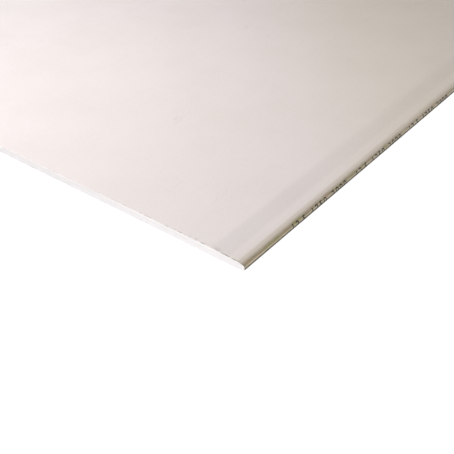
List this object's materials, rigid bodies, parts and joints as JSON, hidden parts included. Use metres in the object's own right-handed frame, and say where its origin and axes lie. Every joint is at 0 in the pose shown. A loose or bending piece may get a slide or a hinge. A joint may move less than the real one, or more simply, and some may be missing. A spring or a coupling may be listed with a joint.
{
  "type": "drywall sheet",
  "caption": "Flat plasterboard sheet: gypsum core between paper liners, tapered and rounded long sides, plain sawn ends.",
  "frame": {"origin": "middle of the back, on the surface that the sheet lies on", "axes": "+Z out of the face, +Y along the sheet, +X across it"},
  "size_m": [1.25, 2, 0.0125],
  "materials": {
    "gypsum": "matt cast plaster, chalky where it is cut",
    "face_liner": "matt ivory board paper",
    "back_liner": "matt grey-brown recycled board paper"
  },
  "bodies": {
    "root": {"gypsum_core": "gypsum", "face_paper": "face_liner", "back_paper": "back_liner"}
  },
  "joints": []
}
